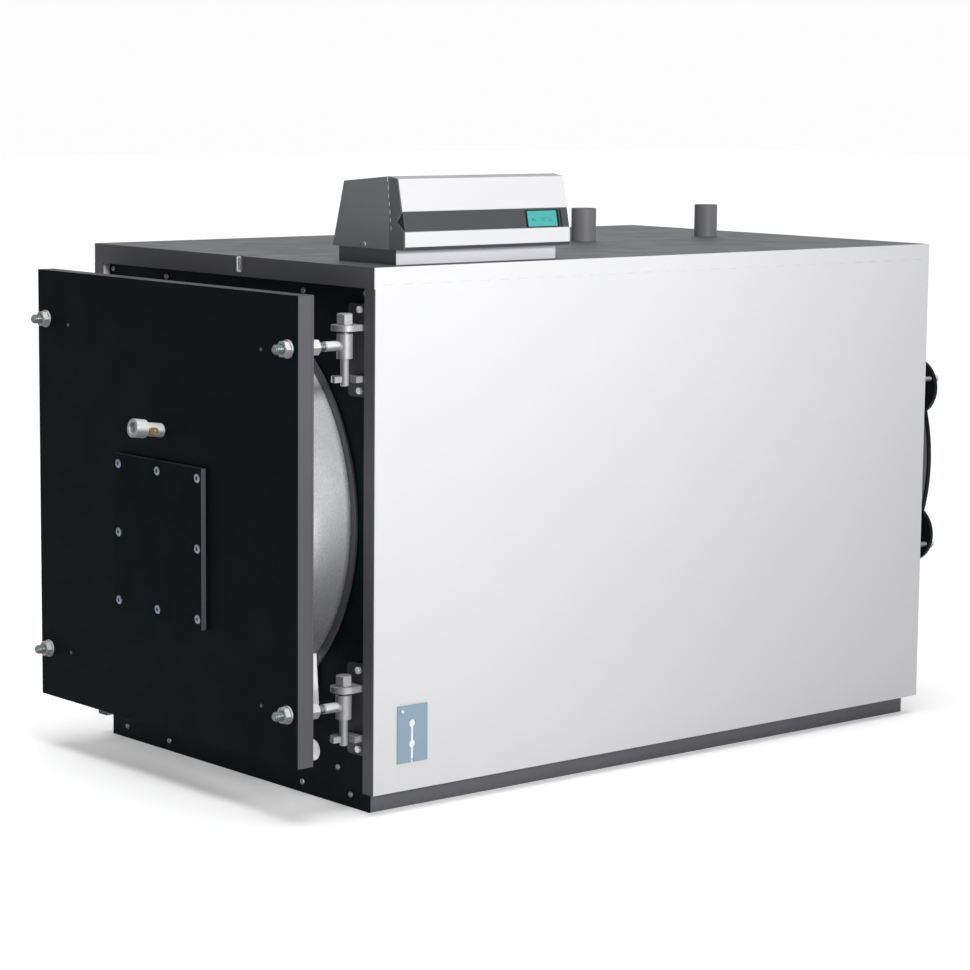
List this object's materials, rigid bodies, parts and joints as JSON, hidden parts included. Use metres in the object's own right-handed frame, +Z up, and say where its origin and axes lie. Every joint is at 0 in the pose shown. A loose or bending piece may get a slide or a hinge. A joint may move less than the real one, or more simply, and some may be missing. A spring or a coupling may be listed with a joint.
{
  "type": "packaged shell boiler with hinged burner door",
  "caption": "Horizontal steel heating boiler in a sheet casing, with a swinging burner door on tie rods, a control console, pipe stubs and a rear flue outlet.",
  "frame": {"origin": "on the floor, in the middle of the casing's footprint", "axes": "+Y from the door to the flue outlet, +Z up, +X towards the side with the console and the door hinges"},
  "size_m": [1.0045, 2.0479, 1.275],
  "materials": {
    "plinth_paint": "satin",
    "black_sheet": "satin black",
    "casing_grey": "satin powder coat",
    "casing_white": "satin powder coat",
    "white_plastic": "matte",
    "zinc": "bright zinc plated",
    "blue_grey_paint": "satin",
    "boiler_steel": "mill scale",
    "polished_steel": "turned and polished",
    "collar_grey": "satin",
    "scaled_steel": "heat tinted",
    "mineral_wool": "fibrous",
    "pipe_grey": "satin",
    "hinge_steel": "plain, lightly oiled",
    "door_edge_grey": "satin",
    "door_black": "semi-gloss black",
    "ceramic_fibre": "fibrous",
    "refractory": "cast, rough",
    "sight_glass": "clear",
    "brass": "satin",
    "console_light": "satin",
    "console_grey": "fine texture",
    "display_teal": "glossy",
    "board_green": "solder mask"
  },
  "bodies": {
    "root": {"base_frame": "plinth_paint", "front_plate": "black_sheet", "rear_plate": "casing_grey", "side_panel_left": "casing_white", "side_panel_right": "casing_white", "corner_trims": "casing_grey", "top_cover_left": "casing_grey", "top_cover_right": "casing_grey", "notch_grommet": "white_plastic", "panel_screws": "zinc", "cable_plate": "blue_grey_paint", "cable_membrane": "white_plastic", "pressure_shell": "boiler_steel", "front_ring": "polished_steel", "shell_collar": "collar_grey", "front_tube_plate": "boiler_steel", "rear_tube_plate": "boiler_steel", "furnace_tube": "boiler_steel", "smoke_tubes": "boiler_steel", "turbulators": "scaled_steel", "insulation_jacket": "mineral_wool", "supply_pipe": "pipe_grey", "return_pipe": "pipe_grey", "drain_stub": "white_plastic", "ring_gussets": "casing_white", "smokebox": "pipe_grey", "smokebox_cover": "black_sheet", "smokebox_studs": "zinc", "flue_spigot": "black_sheet", "hinge_brackets": "hinge_steel", "hinge_bolts": "zinc", "eyes_left": "hinge_steel", "console_base": "console_light", "console_hood": "casing_white", "console_end_front": "console_grey", "console_end_rear": "console_grey", "console_floor": "console_grey", "display_fascia": "console_grey", "display_lens": "display_teal", "console_board": "board_green", "console_screws": "zinc"},
    "door": {"eyes_right": "hinge_steel", "tie_rods": "zinc", "rod_nuts": "zinc", "door_frame": "door_edge_grey", "door_sheet": "door_black", "door_plate": "door_edge_grey", "door_insulation": "ceramic_fibre", "door_refractory": "refractory", "door_rope": "ceramic_fibre", "burner_plate": "door_black", "burner_screws": "zinc", "sight_tube": "zinc", "sight_cap": "zinc", "sight_glass": "sight_glass", "sight_nipple": "brass"},
    "hinge_pin_upper_right": {"pin_upper_right": "hinge_steel"},
    "hinge_pin_lower_right": {"pin_lower_right": "hinge_steel"},
    "hinge_pin_upper_left": {"pin_upper_left": "hinge_steel"},
    "hinge_pin_lower_left": {"pin_lower_left": "hinge_steel"}
  },
  "joints": [
    {"name": "door_swing", "type": "hinge", "parent": "root", "child": "door", "pos_m": [0.438, -0.836, 0.583], "axis": [0, 0, 1], "range_deg": [0, 100]},
    {"name": "upper_right_pin_lift", "type": "slide", "parent": "root", "child": "hinge_pin_upper_right", "axis": [0, 0, 1], "range_m": [0, 0.13]},
    {"name": "upper_left_pin_lift", "type": "slide", "parent": "root", "child": "hinge_pin_upper_left", "axis": [0, 0, 1], "range_m": [0, 0.13]},
    {"name": "lower_right_pin_lift", "type": "slide", "parent": "root", "child": "hinge_pin_lower_right", "axis": [0, 0, 1], "range_m": [0, 0.13]},
    {"name": "lower_left_pin_lift", "type": "slide", "parent": "root", "child": "hinge_pin_lower_left", "axis": [0, 0, 1], "range_m": [0, 0.13]}
  ]
}
